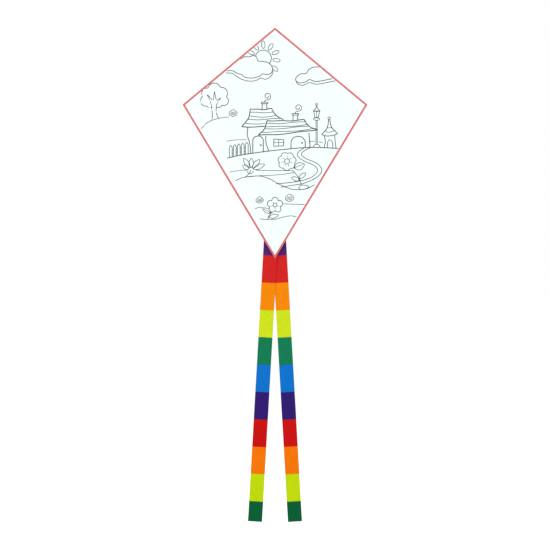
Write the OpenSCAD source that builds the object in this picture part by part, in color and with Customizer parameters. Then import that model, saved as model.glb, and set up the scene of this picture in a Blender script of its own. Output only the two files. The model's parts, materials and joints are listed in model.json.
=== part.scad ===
// Flat two-stick diamond kite with a colour-in sail and a two-legged ribbon tail.
// Millimetres. +Z is up towards the nose, the printed face looks along -Y, and the frame is
// behind it. The origin is the crossing of the spars, in the middle of the sail's thickness.

/* [Sail] */
// Width of the sail from wing tip to wing tip
kite_w = 600; // [500:10:800]
// Height of the sail from nose to foot
kite_h = 750; // [650:10:950]
// Height of the nose above the crossing
nose_z = 250; // [220:5:300]
// Thickness of the sail cloth
sail_t = 0.4; // [0.3:0.05:0.5]
// Half the width of the strip along the spine, out to the two fold seams
fold_x = 12; // [12:1:16]
// Width of the binding tape that shows on each face
binding_w = 6; // [5:0.5:10]
// Thickness of the folded binding over both faces
binding_t = 1.4; // [1.2:0.1:1.8]

/* [Frame] */
// Distance of the spars' axes behind the sail
spar_y = 4.6; // [4.6:0.1:5.2]
// Diameter of the spine rod
spine_d = 4; // [3:0.5:4]
// Diameter of the two spreader rods
spreader_d = 3; // [2.5:0.5:3]
// Height of the soft cross fitting along the spine
hub_h = 40; // [34:2:46]
// Length of each of the cross fitting's arms over its spreader rod
arm_len = 24; // [18:1:30]
// How far each half of the sail bends back, in degrees
wing_bend = 20; // [10:1:20]

/* [Bridle eyelets] */
// Diameter of the hole through an eyelet
eyelet_bore = 3; // [2.5:0.5:3]
// Height of the upper pair above the crossing
eyelet_up = 34; // [30:1:60]
// Depth of the lower pair below the crossing
eyelet_down = 262; // [220:1:300]

/* [Tail] */
// Width of one ribbon streamer
ribbon_w = 46; // [38:1:46]
// Thickness of the ribbon
ribbon_t = 0.4; // [0.3:0.05:0.5]
// Length of one colour panel
band = 89.1; // [80:0.1:95]
// Length of the panel at the loose end
last_band = 64; // [50:0.1:90]
// Number of colour panels in a streamer
bands = 11; // [8:1:11]
// Lean of each streamer away from the middle, in degrees
lean = 3.25; // [2.5:0.25:3.5]
// Distance of the tail's plane behind the sail
tail_y = 12; // [12:0.5:14]
// Depth of the streamers' upper seams below the crossing
tail_top = 401; // [390:1:405]

/* [Hidden] */
$fn = 48;
half_w = kite_w / 2;
foot_z = nose_z - kite_h;
corners = [[0, nose_z], [half_w, 0], [0, foot_z], [-half_w, 0]];

// The four edges touch one circle, so its centre is where the outline shrinks evenly.
upper_edge = norm([half_w, nose_z]);
lower_edge = norm([half_w, foot_z]);
in_z = (nose_z / upper_edge + foot_z / lower_edge) / (1 / upper_edge + 1 / lower_edge);
in_r = (nose_z - in_z) * half_w / upper_edge;

gap = 0.3;            // clearance between bodies that turn past each other
lie = 0.05;           // clearance between sewn layers
tape_t = 0.5;         // webbing and pocket cloth
seam_r = 0.4;         // rolled seam on a fold of the sail
seam_stop = 14;       // height left between that seam's end and the sail's edge
hem_inset = 0.9;      // from the tape's folded edge to the cloth's cut edge
past = 2;             // how far a cutting or clipping shape runs past what it cuts
wing_x = fold_x + seam_r + gap;
edge_share = 1 - fold_x / half_w;
binding_x = fold_x + 1.5;

cap_wall = 1.1;
cap_len = 18;
rod_end = 2;          // solid end of a cap, beyond the rod
rod_to_tip = 15;      // from a rod's end to the sail's corner
cap_to_tip = rod_to_tip - rod_end;
cap_bevel = 0.8;
spine_r = spine_d / 2;
spreader_r = spreader_d / 2;
fit = 0.03;           // radial clearance of a rod in its soft sleeve

pocket_to_tip = 10;   // from a pocket's closed end to the sail's corner
pocket_room = 0.3;    // clearance over a capped rod
spine_pocket_len = 40;
spine_pocket_mouth = 8.5;   // half widths of the pockets at their mouths and ends
nose_pocket_end = 6;
foot_pocket_end = 5;
wing_pocket_len = 36;
wing_pocket_mouth = 8;
wing_pocket_end = 5;
spine_pocket_y = spar_y + spine_r + cap_wall + pocket_room + tape_t;
wing_pocket_y = spar_y + spreader_r + cap_wall + pocket_room + tape_t;

sleeve_wall = 2.2;
hub_r = spine_r + sleeve_wall;
arm_r = spreader_r + 2;
arm_x = fold_x + 0.6;
rod_x = arm_x + 1;    // where a spreader rod starts in its arm
hub_reach = fold_x - 0.4;
bend_room = 4;        // slope of the fitting's faces beyond the bend, in degrees

eyelet_x = 7.2;
eyelet_r = 3;         // flange
barrel_r = eyelet_bore / 2 + 0.4;
flange_t = 0.35;

ribbon_r = 0.5;       // rolled seam between two colours
ribbon_dy = 1;        // each streamer's distance from the tail's plane
top_x = 10.9;         // each streamer's centre at its upper seam
ring_r = 9;
ring_wire_r = 1;
ring_z = 29 - tail_top;
loop_r = 2.4;         // inside of a webbing loop round the ring's wire
loop_wall = 0.7;
loop_w = 8;
tab_z = ring_z + ring_r;
tab_half_w = 2.8;
tab_half_h = 9;
tab_stem_t = 2.2;

keeper_y = spar_y + spine_r + 0.2;
keeper_foot_x = 10.8; // outer edge of a keeper
keeper_h = 18;
tail_keeper_h = 32;
keeper_zs = [130, -150];

yoke_top_x = 7;       // half widths of the tail's header
yoke_foot_x = 32;
strip_h = 6;

purple = "#56327a";
red = "#d62829";
orange = "#f58a0e";
yellow = "#d3e220";
green = "#1a7d54";
blue = "#1571cc";
rainbow = [purple, red, orange, yellow, green, blue];
rainbow_names = ["purple", "red", "orange", "yellow", "green", "blue"];

sail_white = "#f6fcfa";
coral = "#e8737a";
glass_fibre = "#d8d2b8";
soft_black = "#26282b";
soft_white = "#eceeee";

function ribbon_name(side, i) =
    str(side, "_ribbon_", i < 9 ? "0" : "", i + 1, "_", rainbow_names[i % 6]);
function inset(d) = [for (p = corners) [0, in_z] + (p - [0, in_z]) * (1 - d / in_r)];
function seam_at(i) = i < bands ? i * band : (bands - 1) * band + last_band;

// A flat outline in X and Z, thick from y0 to y1.
module slab(points, y0, y1) {
    translate([0, y1, 0])
        rotate([90, 0, 0])
            linear_extrude(y1 - y0)
                polygon(points);
}

// A flat outline in X and Y, from z0 up to z1.
module slab_xy(points, z0, z1) {
    translate([0, 0, z0])
        linear_extrude(z1 - z0)
            polygon(points);
}

module box(low, high) {
    translate(low)
        cube(high - low);
}

// A rod or hole along X between x0 and x1, at depth y and height z.
module bar_x(r, x0, x1, y, z) {
    translate([x0, y, z])
        rotate([0, 90, 0])
            cylinder(r = r, h = x1 - x0);
}

// A rod or hole along Y between y0 and y1.
module bar_y(r, x, y0, y1, z) {
    translate([x, y1, z])
        rotate([90, 0, 0])
            cylinder(r = r, h = y1 - y0);
}

// A rod or hole along Z between z0 and z1.
module bar_z(r, x, y, z0, z1) {
    translate([x, y, z0])
        cylinder(r = r, h = z1 - z0);
}

module both_sides() {
    children();
    mirror([1, 0, 0])
        children();
}

// ---- sail cloth ----

module sail_centre() {
    color(sail_white) {
        difference() {
            intersection() {
                slab(inset(hem_inset), -sail_t / 2, sail_t / 2);
                box([-fold_x, -past, foot_z], [fold_x, past, nose_z]);
            }
            for (z = [eyelet_up, -eyelet_down]) {
                both_sides()
                    bar_y(barrel_r + lie, eyelet_x, -past, past, z);
            }
        }
        both_sides()
            bar_z(seam_r, fold_x, 0, foot_z * edge_share + seam_stop, nose_z * edge_share - seam_stop);
    }
}

module wing_cloth() {
    color(sail_white)
        intersection() {
            slab(inset(hem_inset), -sail_t / 2, sail_t / 2);
            box([wing_x, -past, foot_z], [half_w, past, nose_z]);
        }
}

module sail_right() {
    wing_cloth();
}

module sail_left() {
    mirror([1, 0, 0])
        wing_cloth();
}

// Binding tape folded over the edge from one corner to the next, mitred at both.
module binding(a, b) {
    outer = inset(0);
    inner = inset(binding_w);
    difference() {
        slab([outer[a], outer[b], inner[b], inner[a]], -binding_t / 2, binding_t / 2);
        slab(inset(hem_inset - lie), -sail_t / 2 - lie, sail_t / 2 + lie);
    }
}

module wing_binding(a, b) {
    color(coral)
        intersection() {
            binding(a, b);
            box([binding_x, -past, foot_z], [half_w, past, nose_z]);
        }
}

module binding_upper_right() {
    wing_binding(0, 1);
}

module binding_lower_right() {
    wing_binding(1, 2);
}

module binding_upper_left() {
    mirror([1, 0, 0])
        wing_binding(0, 1);
}

module binding_lower_left() {
    mirror([1, 0, 0])
        wing_binding(1, 2);
}

module corner_binding(a, b) {
    color(coral)
        intersection() {
            both_sides()
                binding(a, b);
            box([gap - fold_x, -past, foot_z], [fold_x - gap, past, nose_z]);
        }
}

module binding_nose() {
    corner_binding(0, 1);
}

module binding_foot() {
    corner_binding(1, 2);
}

// ---- corner pockets, open towards the middle of the kite ----

// Drawn along +X with its mouth at 0 and its closed end at len; mouth and end are half widths.
module pocket_shell(len, mouth, end, depth) {
    inner = [[-past, mouth - tape_t], [len - tape_t, end - tape_t],
             [len - tape_t, tape_t - end], [-past, tape_t - mouth]];
    color(coral)
        difference() {
            slab([[0, mouth], [len, end], [len, -end], [0, -mouth]], binding_t / 2 + lie, depth);
            slab(inner, 0, depth - tape_t);
        }
}

module nose_pocket() {
    translate([0, 0, nose_z - pocket_to_tip - spine_pocket_len])
        rotate([0, -90, 0])
            pocket_shell(spine_pocket_len, spine_pocket_mouth, nose_pocket_end, spine_pocket_y);
}

module foot_pocket() {
    translate([0, 0, foot_z + pocket_to_tip + spine_pocket_len])
        rotate([0, 90, 0])
            pocket_shell(spine_pocket_len, spine_pocket_mouth, foot_pocket_end, spine_pocket_y);
}

module right_pocket() {
    translate([half_w - pocket_to_tip - wing_pocket_len, 0, 0])
        pocket_shell(wing_pocket_len, wing_pocket_mouth, wing_pocket_end, wing_pocket_y);
}

module left_pocket() {
    mirror([1, 0, 0])
        right_pocket();
}

// ---- frame ----

module spine_rod() {
    color(glass_fibre)
        bar_z(spine_r, 0, spar_y, foot_z + rod_to_tip, nose_z - rod_to_tip);
}

module spreader() {
    color(glass_fibre)
        bar_x(spreader_r, rod_x, half_w - rod_to_tip, spar_y, 0);
}

module right_spreader_rod() {
    spreader();
}

module left_spreader_rod() {
    mirror([1, 0, 0])
        spreader();
}

// A soft cap pushed over a rod's end, drawn along +Z with its closed end at 0.
module end_cap(rod_r) {
    out = rod_r + cap_wall;
    color(soft_black)
        rotate_extrude()
            polygon([[0, 0], [out - cap_bevel, 0], [out, cap_bevel], [out, cap_len],
                     [rod_r + fit, cap_len], [rod_r + fit, rod_end - lie], [0, rod_end - lie]]);
}

module spine_end_caps() {
    translate([0, spar_y, foot_z + cap_to_tip])
        end_cap(spine_r);
    translate([0, spar_y, nose_z - cap_to_tip])
        rotate([180, 0, 0])
            end_cap(spine_r);
}

module right_end_cap() {
    translate([half_w - cap_to_tip, spar_y, 0])
        rotate([0, -90, 0])
            end_cap(spreader_r);
}

module left_end_cap() {
    mirror([1, 0, 0])
        right_end_cap();
}

// The fitting's faces towards its arms slope back, so an arm clears them as its wing bends.
module cross_fitting() {
    deep = 10;          // past the back of the fitting
    narrow = hub_reach - deep * tan(wing_bend + bend_room);
    color(soft_black)
        difference() {
            union() {
                bar_z(hub_r, 0, spar_y, -hub_h / 2, hub_h / 2);
                intersection() {
                    bar_x(arm_r, -fold_x, fold_x, spar_y, 0);
                    slab_xy([[-hub_reach, 0], [hub_reach, 0], [narrow, deep], [-narrow, deep]],
                            -arm_r - past, arm_r + past);
                }
            }
            bar_z(spine_r + fit, 0, spar_y, -hub_h, hub_h);
        }
}

module fitting_arm() {
    color(soft_black)
        difference() {
            bar_x(arm_r, arm_x, arm_x + arm_len, spar_y, 0);
            bar_x(spreader_r + fit, rod_x - lie, half_w, spar_y, 0);
        }
}

module cross_fitting_right_arm() {
    fitting_arm();
}

module cross_fitting_left_arm() {
    mirror([1, 0, 0])
        fitting_arm();
}

// ---- fittings on the centre strip ----

module bridle_eyelets() {
    face = sail_t / 2 + lie;
    color(soft_white)
        for (z = [eyelet_up, -eyelet_down]) {
            both_sides()
                difference() {
                    union() {
                        bar_y(barrel_r, eyelet_x, -face, face, z);
                        bar_y(eyelet_r, eyelet_x, face, face + flange_t, z);
                        bar_y(eyelet_r, eyelet_x, -face - flange_t, -face, z);
                    }
                    bar_y(eyelet_bore / 2, eyelet_x, -past, past, z);
                }
        }
}

// A cloth bridge over the spine at height z, h high, sewn down along both sides.
module keeper(z, h) {
    top_in = spine_r + 0.6;     // inside half widths over the spine and at the sail
    foot_in = spine_r + 2.2;
    y0 = sail_t / 2 + lie;
    under = [[foot_in, y0], [top_in, keeper_y], [-top_in, keeper_y], [-foot_in, y0]];
    over = [[-foot_in - tape_t, y0 + tape_t], [-top_in - tape_t, keeper_y + tape_t],
            [top_in + tape_t, keeper_y + tape_t], [foot_in + tape_t, y0 + tape_t]];
    left_edge = [[-keeper_foot_x, y0], [-keeper_foot_x, y0 + tape_t]];
    right_edge = [[keeper_foot_x, y0 + tape_t], [keeper_foot_x, y0]];
    color(sail_white)
        slab_xy(concat(under, left_edge, over, right_edge), z - h / 2, z + h / 2);
}

module spine_keepers() {
    for (z = keeper_zs) {
        keeper(z, keeper_h);
    }
}

module tail_keeper() {
    keeper(tab_z, tail_keeper_h);
}

// ---- tail ----

// Webbing sewn to the keeper, with a loop that the ring hangs in.
module tail_tab() {
    y0 = keeper_y + tape_t + lie;
    half = loop_w / 2;
    color(soft_white)
        difference() {
            union() {
                box([-tab_half_w, y0, tab_z - tab_half_h],
                    [tab_half_w, y0 + tape_t, tab_z + tab_half_h]);
                box([-tab_half_w, y0, tab_z - tab_stem_t / 2],
                    [tab_half_w, tail_y, tab_z + tab_stem_t / 2]);
                bar_x(loop_r + loop_wall, -half, half, tail_y, tab_z);
            }
            bar_x(loop_r, -loop_w, loop_w, tail_y, tab_z);
        }
}

module tail_ring() {
    color(soft_white)
        translate([0, tail_y, ring_z])
            rotate([90, 0, 0])
                rotate_extrude()
                    translate([ring_r, 0])
                        circle(r = ring_wire_r);
}

// Places a streamer's own frame: +X across it, -Z down along it, 0 at its upper seam.
module streamer_frame(side) {
    dir = side == "left" ? -1 : 1;
    translate([dir * top_x, tail_y + dir * ribbon_dy, -tail_top])
        rotate([0, -dir * lean, 0])
            children();
}

module ribbon_seam(side, depth) {
    streamer_frame(side)
        bar_x(ribbon_r, -ribbon_w / 2, ribbon_w / 2, 0, -depth);
}

// Sewn layers that narrow from the two streamers to the loop on the ring.
module header_yoke() {
    thick = ribbon_dy + ribbon_t / 2 + lie;
    top = ring_z - ring_r - loop_r - loop_wall / 2;
    foot = strip_h / 2 - tail_top;
    slab([[-yoke_top_x, top], [yoke_top_x, top], [yoke_foot_x, foot], [-yoke_foot_x, foot]],
         tail_y - thick, tail_y + thick);
}

// The strip by which a streamer is sewn into the yoke, with its upper seam.
module header_strip(side) {
    streamer_frame(side)
        box([-ribbon_w / 2, -ribbon_t / 2, 0], [ribbon_w / 2, ribbon_t / 2, strip_h]);
    ribbon_seam(side, 0);
}

module tail_header() {
    color(purple) {
        difference() {
            union() {
                header_yoke();
                bar_x(loop_r + loop_wall, -loop_w / 2, loop_w / 2, tail_y, ring_z - ring_r);
            }
            bar_x(loop_r, -loop_w, loop_w, tail_y, ring_z - ring_r);
        }
        header_strip("left");
        header_strip("right");
    }
}

// One colour of a streamer, with the rolled seam, or at the loose end the hem, along its foot.
module ribbon(side, i) {
    color(rainbow[i % 6]) {
        streamer_frame(side)
            box([-ribbon_w / 2, -ribbon_t / 2, -seam_at(i + 1)],
                [ribbon_w / 2, ribbon_t / 2, -seam_at(i) - ribbon_r - gap]);
        ribbon_seam(side, seam_at(i + 1));
    }
}

sail_centre();
sail_left();
sail_right();
binding_nose();
binding_foot();
binding_upper_left();
binding_upper_right();
binding_lower_left();
binding_lower_right();
nose_pocket();
foot_pocket();
left_pocket();
right_pocket();
spine_rod();
left_spreader_rod();
right_spreader_rod();
cross_fitting();
cross_fitting_left_arm();
cross_fitting_right_arm();
spine_end_caps();
left_end_cap();
right_end_cap();
bridle_eyelets();
spine_keepers();
tail_keeper();
tail_tab();
tail_ring();
tail_header();
for (side = ["left", "right"]) for (i = [0 : bands - 1]) {
    ribbon(side, i);
}
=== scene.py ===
"""Looks of a diamond colour-in kite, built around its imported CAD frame.

Everything is in metres in the CAD frame: +Z up to the nose, -Y out of the printed face, the
spars behind the sail at +Y. Sizes written in millimetres are multiplied by MM.
"""
import json
import math

import bmesh
import bpy
import numpy as np
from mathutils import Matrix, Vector
from mathutils.geometry import delaunay_2d_cdt


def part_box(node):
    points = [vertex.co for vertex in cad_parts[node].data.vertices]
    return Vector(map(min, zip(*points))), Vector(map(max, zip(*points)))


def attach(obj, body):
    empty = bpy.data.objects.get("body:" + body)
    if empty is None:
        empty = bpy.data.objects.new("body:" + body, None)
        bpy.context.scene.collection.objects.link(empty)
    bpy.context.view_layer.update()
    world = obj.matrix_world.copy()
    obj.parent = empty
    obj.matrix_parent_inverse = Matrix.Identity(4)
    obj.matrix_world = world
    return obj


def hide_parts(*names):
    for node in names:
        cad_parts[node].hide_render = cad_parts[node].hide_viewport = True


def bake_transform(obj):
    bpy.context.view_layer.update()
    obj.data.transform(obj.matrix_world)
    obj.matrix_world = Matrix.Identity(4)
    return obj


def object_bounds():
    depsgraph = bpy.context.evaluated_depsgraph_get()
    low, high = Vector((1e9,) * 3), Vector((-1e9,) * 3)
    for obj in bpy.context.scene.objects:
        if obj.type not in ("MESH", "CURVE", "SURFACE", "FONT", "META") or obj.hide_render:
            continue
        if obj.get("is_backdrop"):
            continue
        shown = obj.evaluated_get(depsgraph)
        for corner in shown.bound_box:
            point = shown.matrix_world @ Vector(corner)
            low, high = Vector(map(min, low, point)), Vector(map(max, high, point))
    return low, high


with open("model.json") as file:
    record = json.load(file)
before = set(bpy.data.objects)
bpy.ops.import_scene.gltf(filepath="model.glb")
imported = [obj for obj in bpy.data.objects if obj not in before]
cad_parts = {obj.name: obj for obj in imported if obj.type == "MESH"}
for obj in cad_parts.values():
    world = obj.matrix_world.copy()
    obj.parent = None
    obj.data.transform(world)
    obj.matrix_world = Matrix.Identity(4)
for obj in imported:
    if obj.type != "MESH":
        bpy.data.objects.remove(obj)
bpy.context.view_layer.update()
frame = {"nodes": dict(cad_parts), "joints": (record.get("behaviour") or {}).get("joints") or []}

MM = 0.001
joints = {j["name"]: j for j in frame["joints"]}

# ---- places read from the frame ----

HALF_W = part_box("binding_upper_right")[1].x
NOSE_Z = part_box("binding_nose")[1].z
FOOT_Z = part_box("binding_foot")[0].z
FOLD_X = joints["right_wing_bend"]["pos_m"][0]
SPAR_Y = sum(corner.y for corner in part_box("spine_rod")) / 2
_, TAIL_Y, TAB_Z = joints["tail_swing"]["pos_m"]
RING_Z = joints["tail_sway"]["pos_m"][2]
RING_R = TAB_Z - RING_Z
TAIL_END_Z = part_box("left_ribbon_11_green")[0].z

CORNERS = np.array([[0, NOSE_Z], [HALF_W, 0], [0, FOOT_Z], [-HALF_W, 0]])
UPPER_EDGE = math.hypot(HALF_W, NOSE_Z)
LOWER_EDGE = math.hypot(HALF_W, FOOT_Z)
# The four edges touch one circle round this centre, so the outline shrinks evenly towards it.
INNER_Z = (NOSE_Z / UPPER_EDGE + FOOT_Z / LOWER_EDGE) / (1 / UPPER_EDGE + 1 / LOWER_EDGE)
INNER_R = (NOSE_Z - INNER_Z) * HALF_W / UPPER_EDGE

SAIL_T = 0.25 * MM
TAPE_W = 6.0 * MM
TAPE_T = 0.28 * MM
TAPE_LIES = SAIL_T / 2 + 0.12 * MM          # from the cloth's middle to the inside of the tape
BELLY, CREASE, RIPPLE = 2.4 * MM, 0.42 * MM, 0.16 * MM      # how deep each of them makes the sail


def inset(distance):
    """The sail's four corners, moved in so that every edge is this far inside."""
    centre = np.array([0, INNER_Z])
    return centre + (CORNERS - centre) * (1 - distance / INNER_R)


def edge_distance(x, z):
    """How far a point is inside the nearest edge of the sail."""
    ax = np.abs(x)
    upper = (NOSE_Z * HALF_W - ax * NOSE_Z - z * HALF_W) / UPPER_EDGE
    lower = (-FOOT_Z * HALF_W + ax * FOOT_Z + z * HALF_W) / LOWER_EDGE
    return np.minimum(upper, lower)


def smooth_step(t):
    t = np.clip(t, 0, 1)
    return t * t * (3 - 2 * t)


def sail_y(x, z):
    """Depth of the middle of the cloth: each quarter bellies a little, with tension creases."""
    x, z = np.asarray(x, float), np.asarray(z, float)
    ax = np.abs(x)
    side = np.sign(x)
    inside = smooth_step(edge_distance(x, z) / (70 * MM))
    off_spine = smooth_step((ax - 4 * MM) / (80 * MM))
    off_spar = smooth_step(np.abs(z) / (70 * MM))
    belly = -BELLY * inside * off_spine * (0.35 + 0.65 * off_spar)
    creases = 0.0
    for cx, cz, spokes, reach in (
        (0, NOSE_Z, 15, 0.26), (0, FOOT_Z, 19, 0.34), (HALF_W, 0, 21, 0.30), (-HALF_W, 0, 21, 0.30),
    ):
        away = np.hypot(x - cx, z - cz)
        angle = np.arctan2(z - cz, x - cx)
        fade = smooth_step(away / (30 * MM)) * (1 - smooth_step(away / reach))
        creases = creases + fade * np.sin(angle * spokes + 1.7 * np.sin(away * 22 + cx * 9))
    ripple = (np.sin(x * 61 + 2.1 * np.sin(z * 17) + side) * np.sin(z * 43 + 1.3 * np.sin(x * 23))
              + 0.5 * np.sin(x * 113 - z * 71 + side))
    soft = off_spine * (0.35 + 0.65 * inside)
    return belly + soft * (CREASE * creases + RIPPLE * ripple)


# ---- mesh helpers ----

def add_object(name, data):
    obj = bpy.data.objects.new(name, data)
    bpy.context.scene.collection.objects.link(obj)
    return obj


def new_object(name, points, faces, materials, smooth=True, face_material=None):
    mesh = bpy.data.meshes.new(name)
    mesh.from_pydata([tuple(p) for p in points], [], [tuple(f) for f in faces])
    mesh.validate()
    for m in materials:
        mesh.materials.append(m)
    mesh.polygons.foreach_set("use_smooth", [smooth] * len(mesh.polygons))
    if face_material is not None:
        mesh.polygons.foreach_set("material_index", face_material)
    shell = bmesh.new()
    shell.from_mesh(mesh)
    bmesh.ops.recalc_face_normals(shell, faces=shell.faces)
    shell.to_mesh(mesh)
    shell.free()
    if smooth:
        mesh.set_sharp_from_angle(angle=math.radians(50))
    mesh.update()
    return add_object(name, mesh)


THREAD = 1          # the second material of a sewn piece


class Build:
    """Collects points and faces, so that a piece of many parts is one mesh."""

    def __init__(self):
        self.points, self.faces, self.kinds = [], [], []

    def add(self, points, faces, kind=0):
        base = len(self.points)
        self.points.extend(points)
        self.faces.extend([[i + base for i in f] for f in faces])
        self.kinds.extend([kind] * len(faces))

    def two_sided(self, front, back):
        """Two facing grids, each of rows of points, closed round their rim."""
        n, m = len(front), len(front[0])
        under = n * m
        faces = []
        for i in range(n - 1):
            for j in range(m - 1):
                a = i * m + j
                b = a + under
                faces += [[a, a + m, a + m + 1, a + 1], [b + 1, b + m + 1, b + m, b]]
        rim = (list(range(m)) + [i * m + m - 1 for i in range(1, n)]
               + [(n - 1) * m + j for j in range(m - 2, -1, -1)] + [i * m for i in range(n - 2, 0, -1)])
        faces += [[b, b + under, a + under, a] for a, b in zip(rim, rim[1:] + rim[:1])]
        self.add([p for rows in (front, back) for row in rows for p in row], faces)

    def tube(self, loops, kind=0):
        """Closed loops of points joined end to end, with both ends capped."""
        n, m = len(loops), len(loops[0])
        faces = []
        for i in range(n - 1):
            for j in range(m):
                a, b = i * m + j, i * m + (j + 1) % m
                faces.append([a, b, b + m, a + m])
        faces.append(list(range(m))[::-1])
        faces.append([(n - 1) * m + j for j in range(m)])
        self.add([p for loop in loops for p in loop], faces, kind)

    def finish(self, name, materials, smooth=True):
        return new_object(name, self.points, self.faces, materials, smooth, self.kinds)


# A stitch's profile over its length: how far it stands out, and its thickness, in thread radii.
STITCH_LIFT = np.array([-0.9, 0.1, 0.45, 0.1, -0.9])
STITCH_THICK = np.array([0.5, 0.95, 1.0, 0.95, 0.5])
STITCH_PITCH = 3.3 * MM


def add_stitches(build, path, face, pitch=STITCH_PITCH, length=2.3 * MM, radius=0.21 * MM):
    """Thread along a path: one short arched stitch each pitch. face is -1 in front, 1 behind."""
    path = np.asarray(path, float)
    out = np.array([0.0, face, 0.0])
    steps = np.linalg.norm(np.diff(path, axis=0), axis=1)
    run = np.concatenate([[0], np.cumsum(steps)])
    count = int((run[-1] - length) / pitch)
    turn = np.linspace(0, 2 * math.pi, 6, endpoint=False)
    for k in range(count + 1):
        s = np.linspace(k * pitch, k * pitch + length, len(STITCH_LIFT))
        line = np.stack([np.interp(s, run, path[:, i]) for i in range(3)], 1)
        along = line[-1] - line[0]
        side = np.cross(along / np.linalg.norm(along), out)
        build.tube([[p + out * h + (side * math.cos(a) + out * math.sin(a)) * r for a in turn]
                    for p, h, r in zip(line, STITCH_LIFT * radius, STITCH_THICK * radius)], THREAD)


# ---- materials ----

def set_inputs(made, values):
    for socket, value in values.items():
        made.inputs[socket].default_value = value


def material(name, colour, roughness, sheen=0.0, coat=0.0, gloss=0.5):
    mat = bpy.data.materials.new(name)
    mat.use_nodes = True
    shader = mat.node_tree.nodes["Principled BSDF"]
    set_inputs(shader, {
        "Base Color": (*colour, 1), "Roughness": roughness, "Specular IOR Level": gloss,
        "Sheen Weight": sheen, "Sheen Roughness": 0.5, "Coat Weight": coat, "Coat Roughness": 0.12,
    })
    return mat, mat.node_tree, shader


def node(tree, kind, **values):
    made = tree.nodes.new(kind)
    for key, value in values.items():
        if key in made.inputs:
            made.inputs[key].default_value = value
        else:
            setattr(made, key, value)
    return made


def join(tree, a, out, b, into):
    tree.links.new(a.outputs[out], b.inputs[into])


def mottle(tree, shader, colour, amount, scale, rough, stretch=(1, 1, 1)):
    """Uneven colour, and uneven roughness between the two values of rough."""
    place = node(tree, "ShaderNodeTexCoord")
    mapping = node(tree, "ShaderNodeMapping", Scale=stretch)
    noise = node(tree, "ShaderNodeTexNoise", Scale=scale, Detail=5.0, Roughness=0.6)
    ramp = node(tree, "ShaderNodeValToRGB")
    for stop, at, factor in zip(ramp.color_ramp.elements, (0.3, 0.7), (1 - amount, 1 + amount)):
        stop.position = at
        stop.color = (*[min(1.0, c * factor) for c in colour], 1)
    join(tree, place, "Object", mapping, "Vector")
    join(tree, mapping, "Vector", noise, "Vector")
    join(tree, noise, "Fac", ramp, "Fac")
    join(tree, ramp, "Color", shader, "Base Color")
    spread = node(tree, "ShaderNodeMapRange", **{"To Min": rough[0], "To Max": rough[1]})
    join(tree, noise, "Fac", spread, "Value")
    join(tree, spread, "Result", shader, "Roughness")
    return place, noise


def add_bump(tree, shader, height, out, strength, depth):
    bump = node(tree, "ShaderNodeBump", Strength=strength, Distance=depth)
    join(tree, height, out, bump, "Height")
    join(tree, bump, "Normal", shader, "Normal")


def thread_wave(tree, place, direction, pitch):
    wave = node(tree, "ShaderNodeTexWave", Distortion=0.6, Detail=1.0, bands_direction=direction,
                Scale=2 * math.pi / (20 * pitch))
    join(tree, place, "Object", wave, "Vector")
    return wave


def woven(name, colour, pitch, depth=0.05 * MM, roughness=0.62, sheen=0.03, amount=0.05, gloss=0.1):
    """Plain-weave cloth: two sets of threads, slight unevenness and a soft sheen."""
    mat, tree, shader = material(name, colour, roughness, sheen=sheen, gloss=gloss)
    place, _ = mottle(tree, shader, colour, amount, 55, (roughness - 0.06, roughness + 0.08))
    first = thread_wave(tree, place, "X", pitch)
    second = thread_wave(tree, place, "Z", pitch)
    weave = node(tree, "ShaderNodeMath", operation="MULTIPLY")
    join(tree, first, "Fac", weave, 0)
    join(tree, second, "Fac", weave, 1)
    fine = node(tree, "ShaderNodeTexNoise", Scale=900.0, Detail=3.0)
    join(tree, place, "Object", fine, "Vector")
    total = node(tree, "ShaderNodeMath", operation="MULTIPLY_ADD")
    total.inputs[1].default_value = 0.45
    join(tree, fine, "Fac", total, 0)
    join(tree, weave, "Value", total, 2)
    add_bump(tree, shader, total, "Value", 0.35, depth)
    return mat


def moulded(name, colour, roughness, coat=0.0, depth=0.03 * MM, gloss=0.5):
    """Moulded plastic or soft vinyl: a fine grain and uneven gloss."""
    mat, tree, shader = material(name, colour, roughness, coat=coat, gloss=gloss)
    place, _ = mottle(tree, shader, colour, 0.07, 160, (roughness - 0.08, roughness + 0.1))
    fine = node(tree, "ShaderNodeTexNoise", Scale=1400.0, Detail=4.0)
    join(tree, place, "Object", fine, "Vector")
    add_bump(tree, shader, fine, "Fac", 0.3, depth)
    return mat


def fibre_rod(name, colour, along):
    """Pultruded glass fibre: streaks along the rod under a clear skin."""
    mat, tree, shader = material(name, colour, 0.38, coat=0.35)
    stretch = tuple(6.0 if axis == along else 420.0 for axis in "XYZ")
    _, noise = mottle(tree, shader, colour, 0.16, 1.0, (0.3, 0.48), stretch)
    add_bump(tree, shader, noise, "Fac", 0.25, 0.04 * MM)
    return mat


def srgb(r, g, b):
    """Linear colour of an 8-bit screen colour."""
    def one(v):
        v /= 255
        return v / 12.92 if v <= 0.04045 else ((v + 0.055) / 1.055) ** 2.4
    return one(r), one(g), one(b)


SAIL = woven("sail_cloth", srgb(238, 250, 249), pitch=0.5 * MM, sheen=0.02, amount=0.008)
TAPE = woven("binding_tape", srgb(214, 108, 110), pitch=0.7 * MM, depth=0.09 * MM)
INK = moulded("print_ink", srgb(50, 53, 56), 0.85, depth=0.01 * MM, gloss=0.05)
THREAD_CORAL = woven("coral_thread", srgb(214, 92, 100), pitch=0.25 * MM, roughness=0.5, amount=0.1)
THREAD_WHITE = woven("white_thread", srgb(232, 240, 238), pitch=0.25 * MM, roughness=0.5)
WEBBING = woven("white_webbing", srgb(226, 229, 226), pitch=1.1 * MM, depth=0.2 * MM)
VINYL = moulded("soft_vinyl", srgb(44, 46, 50), 0.5)
PLASTIC = moulded("white_plastic", srgb(236, 243, 241), 0.34, coat=0.15, depth=0.015 * MM, gloss=0.35)
ROD_UP = fibre_rod("glass_fibre_spine", srgb(216, 209, 186), "Z")
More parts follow.
